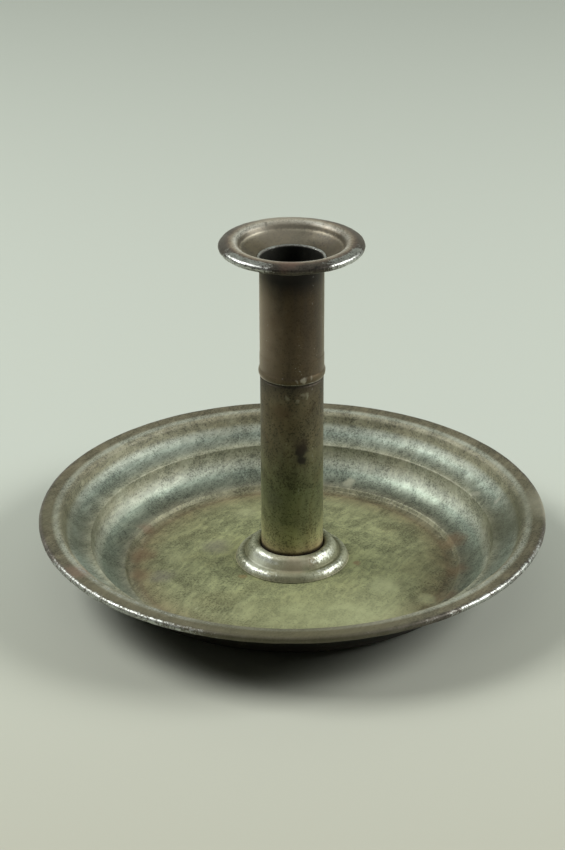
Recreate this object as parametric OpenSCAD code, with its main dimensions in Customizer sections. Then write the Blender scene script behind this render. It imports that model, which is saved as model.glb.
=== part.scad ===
// Saucer candlestick of tinned sheet iron: a wide base pan with a wired edge, a stem of two
// tubes with a stepped collar at its foot, and a small drip pan round the mouth of the socket.
// Each sheet piece is one strip, bent along a chain of tangent arcs and straights and turned
// about the stem's axis. The origin is the middle of the base, on the table.

/* [Sheet] */
// Thickness of the sheet in the base pan, the collar, the drip pan and the candle seat
sheet = 0.4; // [0.3:0.05:0.6]
// Thickness of the sheet in the two tubes of the stem
tube_sheet = 0.4; // [0.3:0.05:0.6]
// Gap between pieces that are pushed together and soldered
seam = 0.04; // [0.02:0.01:0.1]

/* [Base pan] */
// Radius out to the edge of the rolled rim
saucer_r = 95.1; // [75:0.5:130]
// Height of the flange's inner edge, beside the shoulder
saucer_h = 23.7; // [19:0.1:32]
// Width of that flange, out to the rolled rim
flange_w = 5.6; // [2:0.1:15]
// Slope at which the flange rises outwards
flange_rise = 6; // [0:1:12]
// Radius of the rolled rim's own section
saucer_roll_r = 1.3; // [0.9:0.05:1.6]
// Width of the flat ring on which the pan stands
stand_w = 3; // [1:0.1:8]
// Slope of the floor at that ring, which sets how far the middle of the floor rises
floor_slope = 7.5; // [3:0.5:10]
// Height of the low rounded step round the floor
step_h = 2.1; // [1.7:0.1:3]
// Height of the sharp ridge between the two coves of the wall
ridge_h = 14.25; // [10:0.05:17.5]
// Radius of the rounded shoulder between the upper cove and the flange
shoulder_r = 2.2; // [1:0.1:3]

/* [Stem] */
// Outer radius of the socket tube, the upper half of the stem
socket_r = 11.75; // [9.5:0.05:15]
// Height of the joint between the two tubes
joint_z = 80.4; // [60:0.1:98]
// Height of the socket's mouth
mouth_z = 125.6; // [110:0.1:155]
// How much narrower the lower tube is than the socket tube
stem_less = 0.1; // [0:0.05:0.25]
// How much wider the socket tube is where it slips over the lower tube's neck
neck_ease = 0.1; // [0.05:0.05:0.3]
// How far the swelling at the socket tube's lower end stands out
bead_out = 0.45; // [0.2:0.05:0.8]
// Width of the lip that is turned out over the drip pan
lip_w = 0.6; // [0.4:0.05:1.2]
// Length of the lower tube's neck that is inside the socket tube
neck_in = 7.5; // [4:0.5:12]
// Height of the groove left open between the two tubes
groove_h = 1.6; // [1:0.1:3]
// Width of the lower tube's end, spread out under the floor
spread_w = 2.6; // [1.5:0.1:4]
// Depth of the cup-shaped seat that the candle stands over
seat_depth = 3; // [1.5:0.1:6]

/* [Foot collar] */
// Height of the collar's upper ring above the floor
collar_h = 7; // [6:0.1:11]
// Radius of the upper ring's own section
upper_ring_r = 2.2; // [1.8:0.1:2.9]
// Radius of the lower ring's own section
lower_ring_r = 2.2; // [1.5:0.1:3]
// Height of the lower ring above the floor
lower_ring_h = 2.8; // [2.3:0.1:3.5]
// Radius of the hollow between the two rings
hollow_r = 1; // [0.6:0.1:2]
// Slope of the wall below the upper ring, in degrees
wall_slope = 60; // [50:1:88]
// Slope of the skirt below the lower ring, in degrees
skirt_slope = 60; // [45:1:80]

/* [Drip pan] */
// Width of the bowl, from the socket tube out to the crest of the shoulder
bowl_w = 9.95; // [8.5:0.05:14]
// Height of that crest above the socket's mouth
bowl_rise = 6.4; // [5.5:0.1:8.5]
// Radius of the shoulder, which rises from the bowl's steep edge to the crest
pan_shoulder_r = 2.7; // [1.5:0.1:3]
// Width of the arched flange, from the crest out to the middle of the rolled rim
pan_flange_w = 3.2; // [2:0.1:8]
// How far that flange falls on its way
pan_fall = 0.6; // [0.2:0.1:1.5]
// Radius of the rolled rim's own section
pan_roll_r = 1.4; // [0.8:0.05:1.6]

/* [Hidden] */
$fn = 96;

tin = [0.42, 0.43, 0.38];
dark_tin = [0.27, 0.24, 0.22];
bright_tin = [0.62, 0.62, 0.6];
iron_wire = [0.35, 0.34, 0.33];
soft_solder = [0.5, 0.51, 0.5];

half = sheet / 2;
tube_half = tube_sheet / 2;
// How far the edge of a rolled rim is turned, in degrees
roll_turn = 300;

// The largest turn and the longest chord that one flat of a bend may have
bend_step = 9;
longest_chord = 5;

// A chain starts at a point with a heading, in degrees from straight outwards, turning to up.
// Each of its moves is [0, length] for a straight, or [radius, new heading] for a bend.
function side_of(heading) = [-sin(heading), cos(heading)];
function turned_by(heading, move) = sign(move[1] - heading);
function bend_centre(at, heading, move) =
    at + move[0] * turned_by(heading, move) * side_of(heading);
function on_bend(at, heading, move, h) =
    bend_centre(at, heading, move) - move[0] * turned_by(heading, move) * side_of(h);
function move_end(at, heading, move) =
    move[0] == 0 ? at + move[1] * [cos(heading), sin(heading)]
    : on_bend(at, heading, move, move[1]);
function move_heading(heading, move) = move[0] == 0 ? heading : move[1];
function flats_of(heading, move) =
    let (turn = abs(move[1] - heading))
    ceil(max(turn / bend_step, move[0] * turn * PI / 180 / longest_chord));
function chain_end(at, heading, moves, i = 0) =
    i == len(moves) ? at
    : chain_end(move_end(at, heading, moves[i]), move_heading(heading, moves[i]), moves, i + 1);

// The points of one move after its start, each with the heading there
function move_stations(at, heading, move) =
    move[0] == 0 ? (move[1] > 0 ? [[move_end(at, heading, move), heading]] : [])
    : let (n = flats_of(heading, move))
      [for (k = [1:n]) let (h = heading + (move[1] - heading) * k / n)
          [on_bend(at, heading, move, h), h]];
function stations(at, heading, moves, i = 0) =
    i == len(moves) ? []
    : concat(move_stations(at, heading, moves[i]),
        stations(move_end(at, heading, moves[i]), move_heading(heading, moves[i]), moves, i + 1));

// A jog is a pair of equal bends that moves a wall inwards as it rises
function jog_tilt(inwards, r) = acos(1 - inwards / (2 * r));
function jog_rise(inwards, r) = 2 * r * sin(jog_tilt(inwards, r));
function jog(inwards, r) = [[r, 90 + jog_tilt(inwards, r)], [r, 90]];

// The chain is the middle of the sheet, and the strip lies half its thickness to either side
module turned_sheet(at, heading, moves, thick) {
    line = concat([[at, heading]], stations(at, heading, moves));
    left = [for (s = line) s[0] + side_of(s[1]) * thick / 2];
    right = [for (i = [len(line) - 1:-1:0]) line[i][0] - side_of(line[i][1]) * thick / 2];
    rotate_extrude() polygon(concat(left, right));
}

module hoop(r, z, section_r) {
    rotate_extrude() translate([r, z]) circle(r = section_r, $fn = 32);
}

// Floor and wall of the base pan. The wall rises from the flat standing ring in a low step,
// a cove, a sharp ridge, a second cove and a shoulder.
gutter_r = 1;
step_slope = 58;
step_r = 0.9;
low_cove_from = 3;
low_cove_to = 86;
ridge_r = 0.55;
high_cove_from = 6;
high_cove_to = 72;
step_run = (step_h - sheet - gutter_r * (1 - cos(step_slope))
    - step_r * (cos(low_cove_from) - cos(step_slope))) / sin(step_slope);
low_cove_r = (ridge_h - step_h - ridge_r * (cos(high_cove_from) - cos(low_cove_to)))
    / (cos(low_cove_from) - cos(low_cove_to));
high_cove_r = (saucer_h - ridge_h - shoulder_r * (cos(flange_rise) - cos(high_cove_to)))
    / (cos(high_cove_from) - cos(high_cove_to));
saucer_wall = [
    [gutter_r, step_slope],
    [0, step_run],
    [step_r, low_cove_from],
    [low_cove_r, low_cove_to],
    [ridge_r, high_cove_from],
    [high_cove_r, high_cove_to],
    [shoulder_r, flange_rise],
    [0, flange_w],
    [saucer_roll_r - half, flange_rise - roll_turn]
];
wall_edge = chain_end([0, half], 0, [for (i = [0:len(saucer_wall) - 2]) saucer_wall[i]]);
wall_roll = bend_centre(wall_edge, flange_rise, saucer_wall[len(saucer_wall) - 1]);
stand_out = saucer_r - saucer_roll_r - wall_roll[0];
stand_in = stand_out - stand_w;

// The floor is a shallow dome that meets the standing ring in a small bend
dome_r = stand_in / sin(floor_slope) - gutter_r;
dome_base = half + gutter_r - (gutter_r + dome_r) * cos(floor_slope);
function floor_z(r) = dome_base + sqrt(dome_r * dome_r - r * r);

// The hole in the floor clears the bend where the stem's end is spread out below it
stem_r = socket_r - stem_less;
spread_bend = 0.5;
floor_hole_r = stem_r + spread_bend - tube_half;

module saucer() {
    color(tin) turned_sheet([floor_hole_r, floor_z(floor_hole_r)], -asin(floor_hole_r / dome_r),
        concat([[dome_r, -floor_slope], [gutter_r, 0], [0, stand_w]], saucer_wall), sheet);
}

// The wire lies loose in the rolled rim and stiffens it
module saucer_rim_wire() {
    color(iron_wire)
        hoop(saucer_r - saucer_roll_r, wall_roll[1], saucer_roll_r - sheet - seam);
}

// Collar: the sheet rises beside the stem, rolls over the upper ring, falls into a hollow, rolls
// over the lower ring and falls as a skirt to the floor. Heights count from the floor under the
// lower ring's crest.
collar_in_run = 1;
hollow_rise = 12;
upper_ring = upper_ring_r - half;
lower_ring = lower_ring_r - half;
collar_in_r = stem_r + seam + half;
wall_drop = (collar_h - upper_ring_r + upper_ring * cos(wall_slope))
    - (lower_ring_h - half - lower_ring * (1 - cos(hollow_rise)))
    - hollow_r * (cos(hollow_rise) - cos(wall_slope));
wall_run = wall_drop / sin(wall_slope);
lower_ring_at = collar_in_r + upper_ring * (1 + sin(wall_slope)) + wall_run * cos(wall_slope)
    + hollow_r * (sin(wall_slope) + sin(hollow_rise)) + lower_ring * sin(hollow_rise);
collar_floor_z = floor_z(lower_ring_at) + half;
upper_ring_z = collar_floor_z + collar_h - upper_ring_r;
skirt_top = [lower_ring_at + lower_ring * sin(skirt_slope),
    collar_floor_z + lower_ring_h - half - lower_ring * (1 - cos(skirt_slope))];
skirt_fall = [cos(skirt_slope), -sin(skirt_slope)];
// The skirt ends a seam above the floor, where its line meets the dome
over_dome = dome_r + half + seam + half * cos(skirt_slope);
skirt_from = skirt_top - [0, dome_base];
skirt_run = -skirt_fall * skirt_from
    - sqrt(pow(skirt_fall * skirt_from, 2) - skirt_from * skirt_from + pow(over_dome, 2));

module foot_collar() {
    color(bright_tin) turned_sheet([collar_in_r, upper_ring_z - collar_in_run], 90, [
        [0, collar_in_run],
        [upper_ring, -wall_slope],
        [0, wall_run],
        [hollow_r, hollow_rise],
        [lower_ring, -skirt_slope],
        [0, skirt_run]
    ], sheet);
}

// Lower tube: its foot is spread out under the floor, and its top is drawn in to a neck that
// the socket tube slips over
neck_bend = 0.5;
socket_mid_r = socket_r - tube_half;
sleeve_mid_r = socket_mid_r + neck_ease;
stem_mid_r = stem_r - tube_half;
neck_mid_r = sleeve_mid_r - tube_sheet - seam;
neck_step = stem_mid_r - neck_mid_r;
neck_top_z = joint_z + neck_in;
spread_r = stem_mid_r + spread_bend + spread_w;
spread_z = floor_z(spread_r) - half - seam - tube_half;

module stem_tube() {
    color(tin) turned_sheet([spread_r, spread_z], 180, [
        [0, spread_w],
        [spread_bend, 90],
        [0, joint_z - groove_h - spread_z - spread_bend],
        each jog(neck_step, neck_bend),
        [0, neck_in + groove_h - jog_rise(neck_step, neck_bend)]
    ], tube_sheet);
}

// Solder run into a corner: straight along both walls and slightly hollow between them
solder_hollow = 0.3;
module solder_corner(corner, wall_end, roof_end) {
    across = roof_end - wall_end;
    inward = (corner - (wall_end + roof_end) / 2) * solder_hollow;
    face = [for (t = [0:0.125:1]) wall_end + across * t + inward * 4 * t * (1 - t)];
    color(soft_solder) rotate_extrude() polygon(concat([corner], face));
}

// It fills the corner between the spread end of the stem and the underside of the floor
foot_solder_w = 2;
module foot_solder() {
    edge_r = spread_r + seam;
    out_r = edge_r + foot_solder_w;
    solder_corner([edge_r, floor_z(edge_r) - half - seam], [edge_r, spread_z - tube_half],
        [out_r, floor_z(out_r) - half - seam]);
}

// Cup-shaped seat, hung on the end of the lower tube's neck, which stops the candle
seat_wall_r = neck_mid_r - tube_half - seam - half;
seat_lip_bend = half + seam;
seat_corner = 0.8;
seat_r = socket_r - tube_sheet - seam;
seat_top_z = neck_top_z + seam + sheet;

module candle_seat() {
    color(tin) turned_sheet([0, neck_top_z - seat_depth], 0, [
        [0, seat_wall_r - seat_corner],
        [seat_corner, 90],
        [0, seat_depth - seat_corner],
        [seat_lip_bend, 0],
        [0, seat_r - seat_wall_r - seat_lip_bend]
    ], sheet);
}

// Upper tube: swelled at its lower end, eased over the neck up to the candle seat, and with
// its mouth turned out over the drip pan
bead_lean = 28;
bead_blend = 1.2;
lip_bend = tube_half + seam + half;
bowl_from = 22;
lip_z = mouth_z - tube_half - lip_bend;
bead_sag = 1 - cos(bead_lean);
bead_r = bead_out / bead_sag - bead_blend;
bead_start = [sleeve_mid_r + bead_blend * bead_sag, joint_z];
bead = [[bead_r, 90 + bead_lean], [bead_blend, 90]];
bead_top_z = chain_end(bead_start, 90 - bead_lean, bead)[1];
sleeve_top_z = seat_top_z + seam;
sleeve_bend = 1.5;

module socket_tube() {
    color(dark_tin) turned_sheet(bead_start, 90 - bead_lean, [
        each bead,
        [0, sleeve_top_z - bead_top_z],
        each jog(neck_ease, sleeve_bend),
        [0, lip_z - sleeve_top_z - jog_rise(neck_ease, sleeve_bend)],
        [lip_bend, bowl_from],
        [0, lip_w]
    ], tube_sheet);
}

// Drip pan: its inner edge is held under the turned lip. The bowl's radius and the length of
// its steep edge are what bring the crest to its place, and the flange is one long bend.
pan_edge_in = 0.2;
bowl_to = 44;
pan_corner_bend = 0.6;
pan_steep = 60;
lip_centre = [socket_mid_r + lip_bend, lip_z];
lip_way = [cos(bowl_from), sin(bowl_from)];
pan_start = lip_centre + pan_edge_in * lip_way;
pan_crest = [socket_r + bowl_w, mouth_z + bowl_rise - half];
reach = pan_crest - lip_centre - lip_w * lip_way
    - pan_corner_bend * [sin(pan_steep) - sin(bowl_to), cos(bowl_to) - cos(pan_steep)]
    - pan_shoulder_r * [sin(pan_steep), 1 - cos(pan_steep)];
bowl_unit = [sin(bowl_to) - sin(bowl_from), cos(bowl_from) - cos(bowl_to)];
steep_unit = [cos(pan_steep), sin(pan_steep)];
bowl_r = cross(reach, steep_unit) / cross(bowl_unit, steep_unit);
pan_steep_run = cross(bowl_unit, reach) / cross(bowl_unit, steep_unit);
pan_arch = 2 * atan(pan_fall / pan_flange_w);
pan_moves = [
    [0, lip_w - pan_edge_in],
    [bowl_r, bowl_to],
    [pan_corner_bend, pan_steep],
    [0, pan_steep_run],
    [pan_shoulder_r, 0],
    [pan_roll_r - half + pan_flange_w / sin(pan_arch), -pan_arch],
    [pan_roll_r - half, -pan_arch - roll_turn]
];
pan_edge = chain_end(pan_start, bowl_from, [for (i = [0:len(pan_moves) - 2]) pan_moves[i]]);
pan_roll_at = bend_centre(pan_edge, -pan_arch, pan_moves[len(pan_moves) - 1]);

module drip_pan() {
    color(dark_tin) turned_sheet(pan_start, bowl_from, pan_moves, sheet);
}

module drip_pan_rim_wire() {
    color(iron_wire) hoop(pan_roll_at[0], pan_roll_at[1], pan_roll_r - sheet - seam);
}

// It fills the corner between the socket tube and the underside of the drip pan
pan_solder_w = 1.6;
module drip_pan_solder() {
    wall_r = socket_r + seam;
    under = (half + seam) / cos(bowl_from) + (lip_centre[0] - wall_r) * tan(bowl_from);
    corner = [wall_r, lip_z - under];
    solder_corner(corner, corner - [0, pan_solder_w],
        corner + pan_solder_w * [1, tan(bowl_from)]);
}

saucer();
saucer_rim_wire();
foot_collar();
stem_tube();
foot_solder();
socket_tube();
candle_seat();
drip_pan();
drip_pan_rim_wire();
drip_pan_solder();
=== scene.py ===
# Saucer candlestick of tinned sheet iron, put together from the base pan upwards.
from math import acos, asin, atan, ceil, cos, degrees, radians, sin, sqrt, tan

import bmesh
import bpy
from mathutils import Matrix, Vector, noise


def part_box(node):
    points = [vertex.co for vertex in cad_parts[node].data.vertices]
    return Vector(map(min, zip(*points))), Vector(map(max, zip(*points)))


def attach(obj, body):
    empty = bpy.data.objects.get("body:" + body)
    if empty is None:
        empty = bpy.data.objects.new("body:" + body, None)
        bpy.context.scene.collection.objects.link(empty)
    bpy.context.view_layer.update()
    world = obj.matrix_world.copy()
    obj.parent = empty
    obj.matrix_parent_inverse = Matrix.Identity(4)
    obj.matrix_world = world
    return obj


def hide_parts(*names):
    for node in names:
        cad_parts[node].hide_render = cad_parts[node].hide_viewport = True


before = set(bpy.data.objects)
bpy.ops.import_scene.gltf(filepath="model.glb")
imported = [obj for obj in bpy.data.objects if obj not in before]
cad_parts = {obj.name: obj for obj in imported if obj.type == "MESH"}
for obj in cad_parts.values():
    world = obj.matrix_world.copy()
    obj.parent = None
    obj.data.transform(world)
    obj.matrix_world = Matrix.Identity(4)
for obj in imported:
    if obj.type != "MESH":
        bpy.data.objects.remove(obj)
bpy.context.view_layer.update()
mm = 0.001


# Base pan. One sheet of iron, dipped in tin, raised and spun into a floor and a wall of two
# coves, with its edge rolled round a wire. A century of grease, damp and rubbing has left the
# floor olive and speckled, the walls brown-grey, and bare bright metal where hands wore it.
sheet = 0.4 * mm
pan_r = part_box("saucer")[1].x
pan_h = 23.7 * mm
rim_roll_r = 1.3 * mm
flange_w, flange_rise = 5.6 * mm, 6
stand_w = 3 * mm
floor_slope = 7.5
floor_hole_r = 11.95 * mm
step_h = 2.1 * mm
ridge_h = 14.25 * mm
gutter_r, step_slope, step_r = 1 * mm, 58, 0.9 * mm
low_from, low_to, ridge_r = 3, 86, 0.55 * mm
high_from, high_to, shoulder_r = 6, 72, 2.2 * mm


def cosd(angle):
    return cos(radians(angle))


def sind(angle):
    return sin(radians(angle))


def ends(at, heading, moves):
    """Where each move of a bent strip ends. A move is (0, length) or (radius, new heading)."""
    found = []
    x, z = at
    for size, to in moves:
        if size == 0:
            x += to * cosd(heading)
            z += to * sind(heading)
        else:
            side = size if to > heading else -size
            x += side * (sind(to) - sind(heading))
            z += side * (cosd(heading) - cosd(to))
            heading = to
        found.append((x, z))
    return found


def lengths(heading, moves):
    """How far along the strip each of its moves ends."""
    found, run = [], 0
    for size, to in moves:
        run += to if size == 0 else size * radians(abs(to - heading))
        heading = heading if size == 0 else to
        found.append(run)
    return found


def draw_strip(at, heading, moves, pitch):
    """The middle line of a bent strip, as a wire of edges in the XZ plane. Each point keeps how
    far along the strip it lies, for the finish."""
    bm = bmesh.new()
    along = bm.verts.layers.float.new("along")
    first = bmesh.ops.create_vert(bm, co=(at[0], 0, at[1]))["vert"][0]
    tip = first
    for size, to in moves:
        if size == 0:
            steps = max(1, ceil(to / pitch))
            step = Vector((cosd(heading), 0, sind(heading))) * to / steps
            for _ in range(steps):
                tip = bmesh.ops.extrude_vert_indiv(bm, verts=[tip])["verts"][0]
                tip.co += step
        else:
            turn = to - heading
            side = size if turn > 0 else -size
            centre = tip.co + side * Vector((-sind(heading), 0, cosd(heading)))
            steps = max(ceil(abs(turn) / 7), ceil(size * radians(abs(turn)) / pitch))
            made = bmesh.ops.spin(bm, geom=[tip], cent=centre, axis=(0, -1, 0), dvec=(0, 0, 0),
                                  angle=radians(turn), steps=steps, use_merge=False,
                                  use_normal_flip=False, use_duplicate=False)
            tip = [g for g in made["geom_last"] if isinstance(g, bmesh.types.BMVert)][0]
            heading = to
    here, before, run = first, None, 0.0
    while here:
        here[along] = run
        onward = [e.other_vert(here) for e in here.link_edges if e.other_vert(here) != before]
        if onward:
            run += (onward[0].co - here.co).length
        before, here = here, onward[0] if onward else None
    return bm


def turned_sheet(name, bm, thick, steps, uneven=(), finish=None, under=None):
    """Turns a drawn strip about the stem's axis and gives it its thickness. Each row of uneven
    is (from how far along, by how much, wave length), the unevenness of handwork and wear. The
    finish is on its left side, and the other one is on the right side where it differs."""
    bmesh.ops.spin(bm, geom=bm.verts[:] + bm.edges[:], cent=(0, 0, 0), axis=(0, 0, 1),
                   dvec=(0, 0, 0), angle=radians(360), steps=steps, use_merge=True,
                   use_normal_flip=False, use_duplicate=False)
    bmesh.ops.remove_doubles(bm, verts=bm.verts[:], dist=0.002 * mm)
    bmesh.ops.recalc_face_normals(bm, faces=bm.faces[:])
    bm.normal_update()
    along = bm.verts.layers.float["along"]
    for start, amount, wave in uneven:
        shift = [(v, v.normal * amount * noise.noise(v.co / wave)
                  * min(1, max(0, (v[along] - start) / wave + 0.5))) for v in bm.verts]
        for v, by in shift:
            v.co += by
    piece = bpy.data.objects.new(name, bpy.data.meshes.new(name))
    bpy.context.scene.collection.objects.link(piece)
    bm.to_mesh(piece.data)
    bm.free()
    wall = piece.modifiers.new("wall", "SOLIDIFY")
    wall.thickness = thick
    wall.offset = 0
    wall.use_even_offset = True
    piece.data.materials.append(finish)
    if under:
        piece.data.materials.append(under)
        wall.material_offset = 1
    solid = bpy.data.meshes.new_from_object(
        piece.evaluated_get(bpy.context.evaluated_depsgraph_get()))
    piece.modifiers.clear()
    piece.data = solid
    solid.polygons.foreach_set("use_smooth", [True] * len(solid.polygons))
    solid.set_sharp_from_angle(angle=radians(50))
    return piece


def place(piece, node):
    """Hides the CAD node that a finished piece stands for, and hangs the piece on the root body."""
    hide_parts(node)
    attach(piece, "root")


def linear(code):
    """A colour written as an sRGB hex value, turned to linear."""
    parts = [int(code[i:i + 2], 16) / 255 for i in (0, 2, 4)]
    return [p / 12.92 if p < 0.04045 else ((p + 0.055) / 1.055) ** 2.4 for p in parts] + [1]


def add(tree, kind, links=None, stops=None, **settings):
    """Adds one node: its settings, what its sockets hold or are linked to, its ramp's stops."""
    made = tree.nodes.new(kind)
    for key, value in settings.items():
        setattr(made, key, value)
    for key, value in (links or {}).items():
        if isinstance(value, bpy.types.NodeSocket):
            tree.links.new(value, made.inputs[key])
        else:
            made.inputs[key].default_value = value
    if stops:
        points = made.color_ramp.elements
        points[0].position, points[1].position = stops[0][0], stops[-1][0]
        for at, _ in stops[1:-1]:
            points.new(at)
        for point, (_, colour) in zip(points, stops):
            point.color = colour
    return made


def aged_tin(name, zones, spots=(), grips_and_highlights=(), grain=(1, 1, 1), speckle=0.5, contrast=1.0,
             rough=(0.6, 0.34), shine=0.4, bump=0.05, warm=0.5, brushed=0.0, dust=0.0, bare="c3c6c1"):
    """Old tinplate: a patina of two tones, which change along the strip. A row of zones is (how
    far along, darker tone, lighter tone, how metallic, how much it is rubbed), one of spots, which are
    stains and a few patches of painted light, is (centre, radius, colour, strength, softness), and one
    of the patches where what is rubbed is bare, where hands took hold and where highlights are painted, is
    (centre, radius)."""
    made = bpy.data.materials.new(name)
    made.use_nodes = True
    tree = made.node_tree
    tree.nodes.clear()
    where = add(tree, "ShaderNodeTexCoord").outputs["Object"]
    drawn = add(tree, "ShaderNodeVectorMath", {0: where, 1: grain}, operation="MULTIPLY").outputs[0]
    blotch, mottle, speck, drift = [add(tree, "ShaderNodeTexNoise", {
        "Vector": at, "Scale": 1 / (size * mm), "Detail": detail, "Roughness": 0.62,
        "Distortion": twist}).outputs["Fac"]
        for at, size, detail, twist in ((where, 15, 5.0, 0.8), (drawn, 3.5, 5.0, 0.0),
                                        (where, 0.7, 2.0, 0.0), (where, 32, 3.0, 1.2))]
    ragged = add(tree, "ShaderNodeTexNoise", {"Vector": where, "Scale": 1 / (4 * mm),
                                              "Detail": 4.0}).outputs["Color"]
    end = zones[-1][0]
    along = add(tree, "ShaderNodeMath", {0: add(
        tree, "ShaderNodeAttribute", attribute_name="along").outputs["Fac"], 1: 1 / end},
        operation="MULTIPLY").outputs[0]
    deep, pale, metal, rubbed = [add(tree, "ShaderNodeValToRGB", {"Fac": along}, [
        (row[0] / end, linear(row[part]) if part < 3 else [row[part]] * 3 + [1])
        for row in zones]).outputs["Color"] for part in (1, 2, 3, 4)]

    tone = add(tree, "ShaderNodeMath", {0: blotch, 1: mottle}, operation="ADD").outputs[0]
    tone = add(tree, "ShaderNodeMapRange", {"Value": tone, "From Min": 1 - 0.22 / contrast,
                                            "From Max": 1 + 0.22 / contrast}).outputs[0]
    tint = add(tree, "ShaderNodeMix", {0: tone, 6: deep, 7: pale}, data_type="RGBA").outputs[2]
    drift = add(tree, "ShaderNodeMapRange", {"Value": drift, "From Min": 0.47, "From Max": 0.62,
                                             "To Max": warm}).outputs[0]
    tint = add(tree, "ShaderNodeMix", {0: drift, 6: tint, 7: linear("dcc9b6")}, data_type="RGBA",
               blend_type="MULTIPLY").outputs[2]

    # Marks of wiping, 1.5 mm wide and a centimetre long
    if brushed:
        wiped = add(tree, "ShaderNodeVectorRotate", {"Vector": where, "Angle": radians(-62)},
                    rotation_type="Z_AXIS").outputs[0]
        wiped = add(tree, "ShaderNodeVectorMath", {0: wiped, 1: (0.16, 1, 1)},
                    operation="MULTIPLY").outputs[0]
        wiped = add(tree, "ShaderNodeTexNoise", {"Vector": wiped, "Scale": 1 / (1.6 * mm), "Detail": 3.0,
                                                 "Roughness": 0.6, "Distortion": 0.6}).outputs["Fac"]
        wiped = add(tree, "ShaderNodeMapRange", {"Value": wiped, "From Min": 0.36, "From Max": 0.6,
                                                 "To Min": 1 - brushed, "To Max": 1.06}).outputs[0]
        tint = add(tree, "ShaderNodeMix", {0: 1.0, 6: tint, 7: wiped}, data_type="RGBA",
                   blend_type="MULTIPLY").outputs[2]

    # Fine dark oxide, a millimetre across or less, which lies thicker in the darker blotches
    crowd = add(tree, "ShaderNodeMapRange", {"Value": blotch, "From Min": 0.4, "From Max": 0.6,
                                             "To Min": 0.49, "To Max": 0.38}).outputs[0]
    gap = add(tree, "ShaderNodeMath", {0: speck, 1: crowd}, operation="SUBTRACT").outputs[0]
    dark = add(tree, "ShaderNodeMapRange", {"Value": gap, "From Min": -0.06, "From Max": 0.04,
                                            "To Min": 1 - speckle, "To Max": 1.0}).outputs[0]
    tint = add(tree, "ShaderNodeMix", {0: 1.0, 6: tint, 7: dark}, data_type="RGBA",
               blend_type="MULTIPLY").outputs[2]
    lively = add(tree, "ShaderNodeMapRange", {"Value": mottle, "From Min": 0.35, "From Max": 0.65,
                                              "To Min": 0.75, "To Max": 1.15}).outputs[0]
    metal = add(tree, "ShaderNodeMath", {0: metal, 1: lively}, operation="MULTIPLY",
                use_clamp=True).outputs[0]

    # Rust, wax and stains, and a few patches of painted light, with ragged edges
    if spots:
        ragged = add(tree, "ShaderNodeVectorMath", {0: ragged, 1: (0.5, 0.5, 0.5)},
                     operation="SUBTRACT").outputs[0]
        ragged = add(tree, "ShaderNodeVectorMath", {0: ragged, 1: (5 * mm,) * 3, 2: where},
                     operation="MULTIPLY_ADD").outputs[0]
    for at, size, code, strength, soft in spots:
        off = add(tree, "ShaderNodeVectorMath", {0: ragged, 1: [v * mm for v in at]},
                  operation="DISTANCE").outputs["Value"]
        mask = add(tree, "ShaderNodeMapRange", {
            "Value": off, "From Min": size * (1 + soft) * mm, "From Max": size * (1 - soft) * mm,
            "To Min": 0.0, "To Max": strength}, interpolation_type="SMOOTHSTEP").outputs[0]
        tint = add(tree, "ShaderNodeMix", {0: mask, 6: tint, 7: linear(code)},
                   data_type="RGBA").outputs[2]
        metal = add(tree, "ShaderNodeMix", {0: mask, 2: metal, 3: 0.15}).outputs[0]

    # Bare metal, in patches with sharp edges where hands took hold, and in patches painted as highlights
    held_and_highlit = 0.0 if grips_and_highlights else 1.0
    for at, size in grips_and_highlights:
        off = add(tree, "ShaderNodeVectorMath", {0: where, 1: [v * mm for v in at]},
                  operation="DISTANCE").outputs["Value"]
        near = add(tree, "ShaderNodeMapRange", {
            "Value": off, "From Min": size * 1.25 * mm, "From Max": size * 0.6 * mm}).outputs[0]
        held_and_highlit = add(tree, "ShaderNodeMath", {0: held_and_highlit, 1: near}, operation="MAXIMUM").outputs[0]
    rub = add(tree, "ShaderNodeMath", {0: rubbed, 1: held_and_highlit}, operation="MULTIPLY").outputs[0]
    chance = add(tree, "ShaderNodeMath", {0: mottle, 1: speck}, operation="ADD").outputs[0]
    rub = add(tree, "ShaderNodeMath", {0: chance, 1: 1.6, 2: rub}, operation="MULTIPLY_ADD").outputs[0]
    rub = add(tree, "ShaderNodeMapRange", {"Value": rub, "From Min": 2.05, "From Max": 2.5}).outputs[0]
    pitted = add(tree, "ShaderNodeMapRange", {"Value": speck, "From Min": 0.34, "From Max": 0.48,
                                              "To Min": 0.4, "To Max": 1.0}).outputs[0]
    pitted = add(tree, "ShaderNodeMath", {0: pitted, 1: lively}, operation="MULTIPLY").outputs[0]
    worn = add(tree, "ShaderNodeMix", {0: 1.0, 6: linear(bare), 7: pitted}, data_type="RGBA",
               blend_type="MULTIPLY").outputs[2]
    colour = add(tree, "ShaderNodeMix", {0: rub, 6: tint, 7: worn}, data_type="RGBA").outputs[2]
    metal = add(tree, "ShaderNodeMix", {0: rub, 2: metal, 3: 0.95}).outputs[0]
    gloss = add(tree, "ShaderNodeMapRange", {"Value": metal, "To Min": rough[0],
                                             "To Max": rough[1]}).outputs[0]
    gloss = add(tree, "ShaderNodeMath", {0: mottle, 1: 0.2, 2: gloss}, operation="MULTIPLY_ADD").outputs[0]
    gloss = add(tree, "ShaderNodeMath", {0: gloss, 1: 0.1}, operation="SUBTRACT").outputs[0]
    pits = add(tree, "ShaderNodeBump", {"Height": speck, "Strength": 0.6, "Distance": bump * mm})
    shader = add(tree, "ShaderNodeBsdfPrincipled", {
        "Base Color": colour, "Metallic": metal, "Roughness": gloss, "Specular IOR Level": shine,
        "Sheen Weight": dust, "Sheen Roughness": 0.4, "Sheen Tint": linear("e6dcc6"),
        "Normal": pits.outputs["Normal"]})
    add(tree, "ShaderNodeOutputMaterial", {"Surface": shader.outputs["BSDF"]})
    return made


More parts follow.
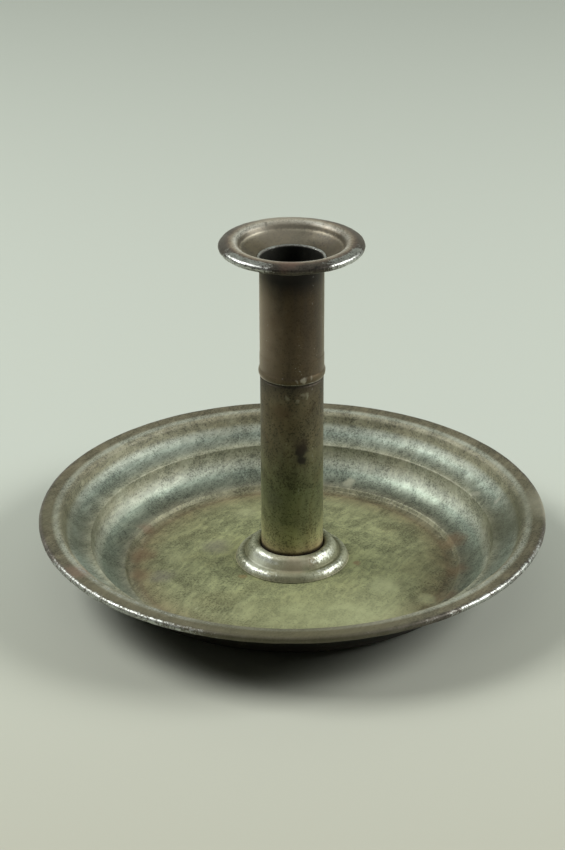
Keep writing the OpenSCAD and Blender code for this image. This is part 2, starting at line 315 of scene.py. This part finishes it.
low_cove_r = ((ridge_h - step_h - ridge_r * (cosd(high_from) - cosd(low_to)))
              / (cosd(low_from) - cosd(low_to)))
high_cove_r = ((pan_h - ridge_h - shoulder_r * (cosd(flange_rise) - cosd(high_to)))
               / (cosd(high_from) - cosd(high_to)))
step_run = (step_h - sheet - gutter_r * (1 - cosd(step_slope))
            - step_r * (cosd(low_from) - cosd(step_slope))) / sind(step_slope)
pan_wall = [(gutter_r, step_slope), (0, step_run), (step_r, low_from), (low_cove_r, low_to),
            (ridge_r, high_from), (high_cove_r, high_to), (shoulder_r, flange_rise), (0, flange_w)]
rim_roll = rim_roll_r - sheet / 2
stand_out = pan_r - rim_roll_r - ends((0, 0), 0, pan_wall)[-1][0] - rim_roll * sind(flange_rise)
stand_in = stand_out - stand_w
dome_r = stand_in / sind(floor_slope) - gutter_r
dome_base = sheet / 2 + gutter_r - (gutter_r + dome_r) * cosd(floor_slope)


def floor_z(r):
    return dome_base + sqrt(dome_r ** 2 - r ** 2)


floor_tilt = -degrees(asin(floor_hole_r / dome_r))
pan_moves = [(dome_r, -floor_slope), (gutter_r, 0), (0, stand_w), *pan_wall,
             (rim_roll, flange_rise - 300)]
(floor_end, gutter_end, stand_end, gutter_out, slope_end, step_end, low_end, ridge_end, high_end,
 shoulder_end, flange_end, roll_end) = lengths(floor_tilt, pan_moves)
tarnished_tinplate = aged_tin("tarnished_tinplate", [
    (0, "83865f", "a6aa78", 0.3, 0.0),
    (20 * mm, "858a64", "a8ad80", 0.3, 0.0),
    (floor_end - 9 * mm, "80825f", "9c9f77", 0.3, 0.0),
    (floor_end - 1.5 * mm, "7b7858", "958f6b", 0.25, 0.0),
    (gutter_end, "70684c", "8a8062", 0.2, 0.0),
    (slope_end, "87886c", "a0a085", 0.35, 0.0),
    (step_end, "868672", "9e9e88", 0.45, 0.2),
    (step_end + 3 * mm, "7c8271", "969c8a", 0.7, 0.0),
    (low_end - 10 * mm, "8c9989", "a7b4a3", 0.6, 0.2),
    (low_end - 6.5 * mm, "bdc4b1", "d6dcc9", 0.2, 0.2),
    (low_end - 3.5 * mm, "a8ab93", "c2c4ac", 0.15, 0.0),
    (ridge_end, "989b83", "b3b59d", 0.3, 0.2),
    (ridge_end + 3 * mm, "8f9684", "aab1a0", 0.6, 0.0),
    (high_end - 7 * mm, "8e9a8b", "a9b5a6", 0.6, 0.2),
    (high_end - 4 * mm, "a6ae9d", "c0c7b6", 0.25, 0.2),
    (high_end - 2 * mm, "8f8f74", "a9a88c", 0.15, 0.0),
    (shoulder_end - 1 * mm, "939178", "acaa90", 0.2, 0.0),
    (shoulder_end + 0.3 * mm, "a9ad9b", "c5c8b6", 0.5, 0.5),
    (shoulder_end + 1.3 * mm, "a3a692", "bec0ad", 0.5, 0.3),
    (shoulder_end + 2.3 * mm, "716d57", "89836b", 0.4, 0.0),
    (flange_end - 0.3 * mm, "6f6b56", "878169", 0.45, 0.0),
    (flange_end + 0.7 * mm, "5f5a51", "7a746b", 0.55, 0.8),
    (flange_end + 3 * mm, "5f5a51", "7a746b", 0.55, 0.8),
    (flange_end + 3.7 * mm, "3a362c", "4b4639", 0.3, 0.2),
    (roll_end, "2a2720", "38342a", 0.2, 0.0),
], spots=[
    ((4, -40, 1.5), 20, "b3b98a", 0.35, 0.8), ((34, -21, 2.4), 5.5, "b3b88d", 0.5, 0.5),
    ((49.9, -28.1, 0.6), 3.2, "b4b88f", 0.5, 0.6), ((30, -46, 1.2), 15, "bdc396", 0.4, 0.8),
    ((-46, -60, 4), 16, "5e6048", 0.55, 0.8),
    ((0, -100, 22), 42, "5c5941", 0.75, 0.6), ((-62, -76, 24), 30, "66624b", 0.45, 0.7),
    ((84, 2, 17), 15, "68684e", 0.65, 0.8),
    ((-84, -4, 17), 15, "6c6c52", 0.45, 0.8), ((108, 4, 24), 17, "b5b29c", 0.7, 0.4),
    ((-44, 1.2, 2.2), 4, "aeb288", 0.4, 0.7), ((-17.9, 37.5, 2.4), 4.5, "b0b38a", 0.4, 0.7),
    ((-28.9, 8.7, 3.3), 5, "7d7672", 0.4, 0.7), ((-49, -11.5, 1.5), 4, "7b7470", 0.4, 0.7),
    ((-56.9, 26.4, 0.8), 3, "7c5a44", 0.45, 0.7), ((-57.7, 6.5, 0.6), 5, "7a5f45", 0.5, 0.7),
    ((-57.5, -9, 0.5), 4, "7a5f45", 0.45, 0.7), ((62.2, 15.5, 2.1), 4.5, "8f6c46", 0.45, 0.7),
    ((62.7, -6.9, 1.4), 4, "876748", 0.45, 0.7), ((58.4, -27.1, 2.1), 4, "866846", 0.4, 0.7),
    ((24.5, -5.4, 3.6), 1.6, "83563f", 0.5, 0.6), ((-18.8, -16, 3.6), 1.6, "96774b", 0.45, 0.6),
    ((23.5, 63, 2.7), 2.2, "bcbba2", 0.55, 0.5), ((71.4, 30.3, 14.5), 1.6, "bebda8", 0.5, 0.4),
    ((74.1, 13.3, 11.2), 2.8, "a9aa90", 0.55, 0.5), ((79.2, 21.4, 16.5), 1.2, "c2c1ae", 0.5, 0.4),
    ((81.3, 36.1, 23.8), 1, "c4c3b0", 0.5, 0.4), ((-76.9, -48.6, 24), 5, "7a5f52", 0.5, 0.6),
], grips_and_highlights=[((-62, -68, 23), 42), ((76, -52, 23), 38)], speckle=0.45, contrast=1.35,
    rough=(0.6, 0.4), warm=0.2, brushed=0.22, bare="b9bdb6")
sooty_tinplate = aged_tin("sooty_tinplate", [(0, "1c1a13", "2a271d", 0.1, 0.0),
                                             (roll_end, "1c1a13", "2a271d", 0.1, 0.0)])
base_pan = turned_sheet(
    "base_pan", draw_strip((floor_hole_r, floor_z(floor_hole_r)), floor_tilt, pan_moves, 1.2 * mm),
    sheet, 256, [(0, 0.06 * mm, 30 * mm), (flange_end, 0.12 * mm, 6 * mm)],
    tarnished_tinplate, sooty_tinplate)
place(base_pan, "saucer")


# Foot collar. A ring of the same sheet, swaged into two rounded steps that hide where the stem
# goes through the floor, its skirt soldered down. Rubbing keeps its rings bright, helped by painted
# highlights at their left and right fronts, and dirt and painted shade blacken its crevice round the stem.
stem_r = 11.65 * mm
seam = 0.04 * mm
collar_h, upper_ring_r = 7 * mm, 2.2 * mm
lower_ring_h, lower_ring_r = 2.8 * mm, 2.2 * mm
hollow_r, hollow_rise, wall_slope, skirt_slope = 1 * mm, 12, 60, 60
upper_ring, lower_ring = upper_ring_r - sheet / 2, lower_ring_r - sheet / 2
collar_in_r = stem_r + seam + sheet / 2
wall_drop = (collar_h - upper_ring_r + upper_ring * cosd(wall_slope)
             - (lower_ring_h - sheet / 2 - lower_ring * (1 - cosd(hollow_rise)))
             - hollow_r * (cosd(hollow_rise) - cosd(wall_slope)))
wall_run = wall_drop / sind(wall_slope)
lower_ring_at = (collar_in_r + upper_ring * (1 + sind(wall_slope)) + wall_run * cosd(wall_slope)
                 + hollow_r * (sind(wall_slope) + sind(hollow_rise))
                 + lower_ring * sind(hollow_rise))
collar_floor_z = floor_z(lower_ring_at) + sheet / 2
upper_ring_z = collar_floor_z + collar_h - upper_ring_r
skirt_from = Vector((lower_ring_at + lower_ring * sind(skirt_slope), 0, collar_floor_z - dome_base
                     + lower_ring_h - sheet / 2 - lower_ring * (1 - cosd(skirt_slope))))
skirt_fall = Vector((cosd(skirt_slope), 0, -sind(skirt_slope)))
over_dome = dome_r + sheet / 2 + seam + sheet / 2 * cosd(skirt_slope)
skirt_run = -skirt_fall.dot(skirt_from) - sqrt(
    skirt_fall.dot(skirt_from) ** 2 - skirt_from.length_squared + over_dome ** 2)
collar_moves = [(0, 1 * mm), (upper_ring, -wall_slope), (0, wall_run), (hollow_r, hollow_rise),
                (lower_ring, -skirt_slope), (0, skirt_run)]
(inner_end, upper_end, wall_end, hollow_end, lower_end, skirt_end) = lengths(90, collar_moves)
worn_tinplate = aged_tin("worn_tinplate", [
    # Near-black at the inner lip and by the stem: dirt and painted shade in the crevice.
    (0, "0b0a07", "15130e", 0.1, 0.0),
    (inner_end + 0.3 * mm, "1b1609", "2e2712", 0.1, 0.0),
    (inner_end + 1 * mm, "5f5a3e", "7c7655", 0.3, 0.0),
    # The upper ring's outer slope is lighter and rubbed bare: wear, and a painted highlight set lower on
    # the ring.
    (inner_end + 1.8 * mm, "83866a", "a9ac90", 0.5, 0.4),
    (upper_end + 0.8 * mm, "949880", "bfc2a9", 0.55, 0.9),
    (wall_end - 1 * mm, "777a5e", "979a7c", 0.4, 0.3),
    (wall_end, "6c6d52", "868769", 0.35, 0.0),
    (hollow_end, "666749", "808162", 0.35, 0.0),
    (hollow_end + 0.8 * mm, "83866b", "a8ab8f", 0.5, 0.6),
    (lower_end, "8f937a", "b5b89e", 0.55, 0.9),
    (lower_end + 0.9 * mm, "85866c", "a0a186", 0.4, 0.2),
    (skirt_end - 0.4 * mm, "79785c", "918f72", 0.3, 0.0),
    (skirt_end, "a6a587", "bcba9b", 0.3, 0.0),
], spots=[
    ((0.5, -15.6, 8.2), 3.6, "9a7a66", 0.5, 0.6), ((-15, -14.3, 5.6), 1.2, "1d1a14", 0.8, 0.3),
    # The whitish patch on the upper ring's left front (dfe4cf) is a painted highlight.
    ((-12.5, -11.5, 8.6), 5, "dfe4cf", 0.7, 0.6), ((-2, -16, 9), 7, "c2bea2", 0.5, 0.6),
    ((0.5, -20.6, 4.6), 5, "6b6a4c", 0.55, 0.8), ((7, -14.4, 9.4), 2.2, "9c8468", 0.4, 0.8),
# The bare patches here sit where the lamps' highlights fall on the rings: painted highlights.
], grips_and_highlights=[((-12.5, -13.5, 7), 8.5), ((14, -12, 7), 8.5)], grain=(2.2, 2.2, 2.2), speckle=0.5,
    contrast=1.2, rough=(0.6, 0.42), warm=0.15, bare="d3d7ca")
foot_collar = turned_sheet("ringed_foot_collar", draw_strip(
    (collar_in_r, upper_ring_z - 1 * mm), 90, collar_moves, 0.5 * mm),
    sheet, 160, [(inner_end, 0.1 * mm, 5 * mm)], worn_tinplate)
place(foot_collar, "foot_collar")


# Lower tube of the stem. A rolled and seamed tube, spread out under the floor at its foot and
# drawn in to a neck at its top. Its tin has gone olive, greener towards the foot, with stains, and a
# dark band of dirt and painted shade lies where it meets the collar.
tube_half = 0.2 * mm
spread_w, spread_bend = 2.6 * mm, 0.5 * mm
joint_z, groove_h, neck_in = 80.4 * mm, 1.6 * mm, 7.5 * mm
stem_mid_r = stem_r - tube_half
neck_step, neck_bend = 0.24 * mm, 0.5 * mm
neck_tilt = degrees(acos(1 - neck_step / (2 * neck_bend)))
neck_rise = 2 * neck_bend * sind(neck_tilt)
spread_r = stem_mid_r + spread_bend + spread_w
spread_z = floor_z(spread_r) - sheet / 2 - seam - tube_half
stem_moves = [(0, spread_w), (spread_bend, 90), (0, joint_z - groove_h - spread_z - spread_bend),
              (neck_bend, 90 + neck_tilt), (neck_bend, 90), (0, neck_in + groove_h - neck_rise)]
from_table = lengths(180, stem_moves)[1] - spread_z - spread_bend
tube_top = lengths(180, stem_moves)[2]
olive_tinplate = aged_tin("olive_tinplate", [
    (0, "2a2a20", "3c3c2e", 0.1, 0.0),
    # Dark band just above the collar: dirt and painted shade where the tube meets it.
    (from_table + 10 * mm, "140f07", "221b0e", 0.1, 0.0),
    (from_table + 10.9 * mm, "3c3119", "544725", 0.15, 0.0),
    (from_table + 11.8 * mm, "ab9f74", "c5b98a", 0.3, 0.0),
    (from_table + 16 * mm, "a2a272", "bbbb88", 0.4, 0.0),
    (from_table + 24 * mm, "797d56", "94986e", 0.55, 0.0),
    (from_table + 36 * mm, "646947", "80865f", 0.6, 0.0),
    (from_table + 56 * mm, "656049", "7e785c", 0.6, 0.0),
    (tube_top - 6 * mm, "5c5540", "746c54", 0.6, 0.0),
    (tube_top, "3f3a2a", "52493a", 0.4, 0.0),
    (tube_top + 2 * mm, "16130e", "1f1b15", 0.1, 0.0),
    (tube_top + 9 * mm, "2a2620", "38342c", 0.1, 0.0),
], spots=[
    ((3.3, -11.2, 53.6), 2.3, "1a140b", 0.9, 0.4), ((3.4, -11.2, 50), 1.9, "1a140b", 0.9, 0.4),
    ((3.3, -11.2, 56.5), 2.6, "3f3120", 0.5, 0.7), ((-1.6, -11.5, 75.3), 0.8, "938f78", 0.5, 0.5),
    ((1.8, -11.5, 73.8), 0.9, "938f78", 0.5, 0.5), ((3.6, -11, 76.2), 1, "938f78", 0.5, 0.5),
    ((5.1, -10.5, 75.2), 0.8, "a09e86", 0.6, 0.4), ((-4, -11, 70), 3, "544128", 0.5, 0.6),
    ((-7, -9, 33), 3.5, "4c4f38", 0.5, 0.7), ((2, -11.5, 24), 3, "8a8c63", 0.4, 0.7),
], grain=(1, 1, 0.3), rough=(0.6, 0.48), contrast=1.5, dust=0.1)
lower_tube = turned_sheet("lower_tube", draw_strip((spread_r, spread_z), 180, stem_moves, 1.5 * mm),
                          2 * tube_half, 128, [(0, 0.05 * mm, 14 * mm)], finish=olive_tinplate)
place(lower_tube, "stem_tube")


# Socket tube. The upper half of the stem, slipped over the neck and swelled at its end, with
# its mouth turned out over the drip pan. Candle smoke has darkened it to a smooth brown; under
# the drip pan it is painted near-black as shade, and pale patches on its left are painted light.
socket_r, mouth_z = 11.75 * mm, 125.6 * mm
bead_out, bead_lean, bead_blend = 0.45 * mm, 28, 1.2 * mm
neck_ease, sleeve_bend, lip_w, bowl_from = 0.1 * mm, 1.5 * mm, 0.6 * mm, 22
lip_bend = tube_half + seam + sheet / 2
lip_z = mouth_z - tube_half - lip_bend
bead_sag = 1 - cosd(bead_lean)
socket_mid_r = socket_r - tube_half
bead_start = (socket_mid_r + neck_ease + bead_blend * bead_sag, joint_z)
bead = [(bead_out / bead_sag - bead_blend, 90 + bead_lean), (bead_blend, 90)]
bead_top_z = ends(bead_start, 90 - bead_lean, bead)[-1][1]
sleeve_top_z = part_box("candle_seat")[1].z + seam
ease_tilt = degrees(acos(1 - neck_ease / (2 * sleeve_bend)))
ease_rise = 2 * sleeve_bend * sind(ease_tilt)
socket_moves = [*bead, (0, sleeve_top_z - bead_top_z), (sleeve_bend, 90 + ease_tilt),
                (sleeve_bend, 90), (0, lip_z - sleeve_top_z - ease_rise), (lip_bend, bowl_from),
                (0, lip_w)]
bead_end = lengths(90 - bead_lean, socket_moves)[1]
socket_top, turn_end, lip_end = lengths(90 - bead_lean, socket_moves)[-3:]
smoked_tinplate = aged_tin("smoked_tinplate", [
    (0, "8a8574", "a09c8a", 0.6, 0.6),
    (0.5 * mm, "50462f", "64583f", 0.5, 0.0),
    (bead_end, "524838", "655946", 0.8, 0.0),
    (bead_end + 14 * mm, "4c4234", "5e5240", 0.8, 0.0),
    # Towards the top, under the drip pan, the tube darkens to near-black: painted shade.
    (socket_top - 12 * mm, "433a2d", "524736", 0.8, 0.0),
    (socket_top - 5 * mm, "100c08", "1a140d", 0.3, 0.0),
    (turn_end - 0.25 * mm, "1d1915", "2a2520", 0.2, 0.0),
    (turn_end + 0.1 * mm, "716e62", "99968a", 0.5, 0.75),
    (lip_end, "716e62", "99968a", 0.5, 0.75),
], spots=[
    ((4.4, -11.4, 82.4), 1, "b0ad9b", 0.7, 0.4), ((1.6, -12.2, 81.6), 0.7, "a39f8c", 0.6, 0.5),
    # The three pale patches at x -11.5 (8a7c66) lighten the tube's left side: painted light.
    ((7.2, -10, 82), 0.6, "a39f8c", 0.5, 0.5), ((-11.5, -4.5, 92), 7.8, "8a7c66", 0.45, 0.9),
    ((-11.5, -4.5, 103), 7.8, "8a7c66", 0.45, 0.9), ((-11.5, -4.5, 113), 6.5, "8a7c66", 0.45, 0.9),
], grain=(1, 1, 0.12), rough=(0.62, 0.5), shine=0.25, speckle=0.25, contrast=1.2, bump=0.03,
    dust=1.0)
sooted_tinplate = aged_tin("sooted_tinplate", [
    (0, "1a1b15", "282920", 0.1, 0.0),
    (turn_end - 0.25 * mm, "1a1b15", "282920", 0.1, 0.0),
    (turn_end + 0.05 * mm, "8a877b", "b5b2a6", 0.5, 0.9),
    (lip_end, "8a877b", "b5b2a6", 0.5, 0.9),
])
socket_tube = turned_sheet("socket_tube_sheet", draw_strip(
    bead_start, 90 - bead_lean, socket_moves, 1 * mm), 2 * tube_half, 128,
    [(0, 0.04 * mm, 16 * mm)], sooted_tinplate, smoked_tinplate)
place(socket_tube, "socket_tube")


# Drip pan. A small dished ring of sheet under the turned lip, with a rounded shoulder, an arched
# flange and an edge rolled round a wire, which handling has rubbed bright and dented. A pale patch
# at the back of the flange is a painted sheen.
bowl_to, corner_bend, pan_steep, pan_shoulder_r = 44, 0.6 * mm, 60, 2.7 * mm
bowl_w, bowl_rise, pan_flange_w, pan_fall, pan_roll_r = 9.95 * mm, 6.4 * mm, 3.2 * mm, 0.6 * mm, 1.4 * mm
pan_edge_in = 0.2 * mm
lip_centre = (socket_mid_r + lip_bend, lip_z)
pan_start = (lip_centre[0] + pan_edge_in * cosd(bowl_from), lip_z + pan_edge_in * sind(bowl_from))
reach_x = (socket_r + bowl_w - lip_centre[0] - lip_w * cosd(bowl_from)
           - corner_bend * (sind(pan_steep) - sind(bowl_to)) - pan_shoulder_r * sind(pan_steep))
reach_z = (mouth_z + bowl_rise - sheet / 2 - lip_centre[1] - lip_w * sind(bowl_from)
           - corner_bend * (cosd(bowl_to) - cosd(pan_steep)) - pan_shoulder_r * (1 - cosd(pan_steep)))
bowl_x, bowl_z = sind(bowl_to) - sind(bowl_from), cosd(bowl_from) - cosd(bowl_to)
steep_x, steep_z = cosd(pan_steep), sind(pan_steep)
across = bowl_x * steep_z - bowl_z * steep_x
bowl_r = (reach_x * steep_z - reach_z * steep_x) / across
pan_steep_run = (bowl_x * reach_z - bowl_z * reach_x) / across
pan_arch = 2 * degrees(atan(pan_fall / pan_flange_w))
pan_roll = pan_roll_r - sheet / 2
drip_moves = [(0, lip_w - pan_edge_in), (bowl_r, bowl_to), (corner_bend, pan_steep),
              (0, pan_steep_run), (pan_shoulder_r, 0),
              (pan_roll + pan_flange_w / sind(pan_arch), -pan_arch), (pan_roll, -pan_arch - 300)]
lip_out, bowl_end, corner_end, steep_end, crest_end, arch_end, drip_end = lengths(bowl_from, drip_moves)
brown_tinplate = aged_tin("brown_tinplate", [
    (0, "443e2f", "564f3d", 0.2, 0.0),
    (lip_out + 1 * mm, "4c4633", "625a45", 0.25, 0.0),
    (bowl_end - 1 * mm, "544e3b", "6a624c", 0.35, 0.0),
    (corner_end, "8f8a76", "aaa48f", 0.5, 0.4),
    (corner_end + 0.6 * mm, "4b4435", "5f5847", 0.45, 0.0),
    (steep_end, "57513f", "6a6350", 0.5, 0.0),
    (steep_end + 1.7 * mm, "cccabb", "e3e1d4", 0.5, 0.4),
    (crest_end, "9c9280", "b5ab95", 0.55, 0.1),
    (crest_end + 1.1 * mm, "67584a", "7f6f5f", 0.6, 0.2),
    (crest_end + 2.2 * mm, "443e36", "59534a", 0.55, 1.0),
    (arch_end + 1.8 * mm, "47433b", "5d5950", 0.6, 1.0),
    (arch_end + 3 * mm, "36322a", "47423a", 0.4, 0.3),
    (drip_end, "2e2a23", "3c372e", 0.3, 0.0),
], spots=[
    ((18.6, -17.9, 131), 2.2, "6d4a38", 0.7, 0.5), ((8.8, -24.1, 131.3), 0.8, "16140f", 0.9, 0.3),
    ((-9.7, 17.6, 131.5), 0.8, "0c0b08", 0.8, 0.4), ((-0.6, -21, 131.9), 4, "6b4c3f", 0.6, 0.6),
    # Of the two below, the pale patch at the back of the flange (b8b29f) is a painted sheen.
    ((17, 5, 128), 8, "463f2f", 0.45, 0.8), ((-4, 23, 131.5), 12, "b8b29f", 0.5, 0.8),
], grips_and_highlights=[((-17, -19, 130.5), 12), ((20, -15, 130.5), 11)], grain=(1.8, 1.8, 1.8), speckle=0.45,
    contrast=1.2, rough=(0.5, 0.34), dust=0.25, bare="b4b6b0")
drip_pan = turned_sheet(
    "drip_pan_sheet", draw_strip(pan_start, bowl_from, drip_moves, 0.6 * mm), sheet, 192,
    [(0, 0.08 * mm, 12 * mm), (arch_end - 1 * mm, 0.1 * mm, 3.5 * mm)], brown_tinplate)
place(drip_pan, "drip_pan")


# Wires, solder and candle seat: what the rolled rims hold, what the seams are run with, and
# the cup in the socket's foot. Little of them shows.
plain = {"candle_seat": ("seat_tinplate", "2e2b24", "3f3d30", 0.2),
         "saucer_rim_wire": ("iron_wire", "3a3632", "4a4540", 0.3),
         "foot_solder": ("soft_solder", "4a4a45", "5f605a", 0.4)}
hidden = {node: aged_tin(name, [(0, deep, pale, metal, 0.0), (1, deep, pale, metal, 0.0)])
          for node, (name, deep, pale, metal) in plain.items()}
hidden["drip_pan_rim_wire"] = hidden["saucer_rim_wire"]
hidden["drip_pan_solder"] = hidden["foot_solder"]
for node_name, finish in hidden.items():
    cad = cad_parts[node_name]
    cad.data.materials.clear()
    cad.data.materials.append(finish)


# Table, light and camera: a pale sweep of paper, a soft box on either side, a weak one high up
# in front, and a room that is pale behind and dim elsewhere. The paper is painted darker and warmer
# towards the front, a painted falloff of light.
table_mesh = bmesh.new()
bmesh.ops.create_grid(table_mesh, x_segments=1, y_segments=1, size=6)
table = bpy.data.objects.new("table", bpy.data.meshes.new("table"))
table_mesh.to_mesh(table.data)
table_mesh.free()
bpy.context.scene.collection.objects.link(table)
paper = bpy.data.materials.new("pale_paper")
paper.use_nodes = True
paper.node_tree.nodes["Principled BSDF"].inputs["Roughness"].default_value = 0.9
# Darker and warmer towards the front: a painted falloff of light on the paper.
deep_in = add(paper.node_tree, "ShaderNodeSeparateXYZ", {
    0: add(paper.node_tree, "ShaderNodeTexCoord").outputs["Object"]}).outputs["Y"]
deep_in = add(paper.node_tree, "ShaderNodeMapRange", {
    "Value": deep_in, "From Min": -0.2, "From Max": 0.1}).outputs[0]
shade = add(paper.node_tree, "ShaderNodeMix", {0: deep_in, 6: linear("c4c5b4"), 7: linear("c8cfc3")},
            data_type="RGBA")
paper.node_tree.links.new(shade.outputs[2], paper.node_tree.nodes["Principled BSDF"].inputs["Base Color"])
table.data.materials.append(paper)


def soft_box(name, at, aim, wide, high, watts):
    light = bpy.data.lights.new(name, "AREA")
    light.shape = "RECTANGLE"
    light.size, light.size_y = wide, high
    light.energy = watts
    holder = bpy.data.objects.new(name, light)
    holder.location = at
    holder.rotation_euler = (Vector(aim) - Vector(at)).to_track_quat("-Z", "Y").to_euler()
    bpy.context.scene.collection.objects.link(holder)


soft_box("box_left", (-0.96, 0.17, 1.01), (0, 0, 0.03), 0.75, 0.6, 14)
soft_box("box_right", (1.19, 0.04, 0.77), (0, 0, 0.03), 0.75, 0.6, 14.5)
soft_box("box_front", (0, -0.6, 1.15), (0, 0, 0.03), 0.8, 0.4, 0.6)

world = bpy.data.worlds.new("room")
world.use_nodes = True
bpy.context.scene.world = world
tree = world.node_tree
facing = add(tree, "ShaderNodeSeparateXYZ", {
    0: add(tree, "ShaderNodeTexCoord").outputs["Generated"]}).outputs["Y"]
room = add(tree, "ShaderNodeValToRGB", {"Fac": add(tree, "ShaderNodeMapRange", {
    "Value": facing, "From Min": -1.0}).outputs[0]}, [
        (0.0, linear("2a2824")), (0.5, linear("50524d")), (1.0, linear("bcc3b9"))])
tree.links.new(room.outputs["Color"], tree.nodes["Background"].inputs["Color"])
tree.nodes["Background"].inputs["Strength"].default_value = 0.8

camera = bpy.data.objects.new("camera", bpy.data.cameras.new("camera"))
camera.data.sensor_width = 36
camera.data.lens = 95.906
camera.location = (0.7 * mm, -755.972 * mm, 421.103 * mm)
to_right = Vector((0.99998688, 0.00408618, -0.00309008))
to_top = Vector((0.00102149, 0.43202825, 0.90185949))
camera.rotation_euler = Matrix((to_right, to_top, to_right.cross(to_top))).transposed().to_euler()
bpy.context.scene.collection.objects.link(camera)
bpy.context.scene.camera = camera
bpy.context.scene.view_settings.view_transform = "Standard"
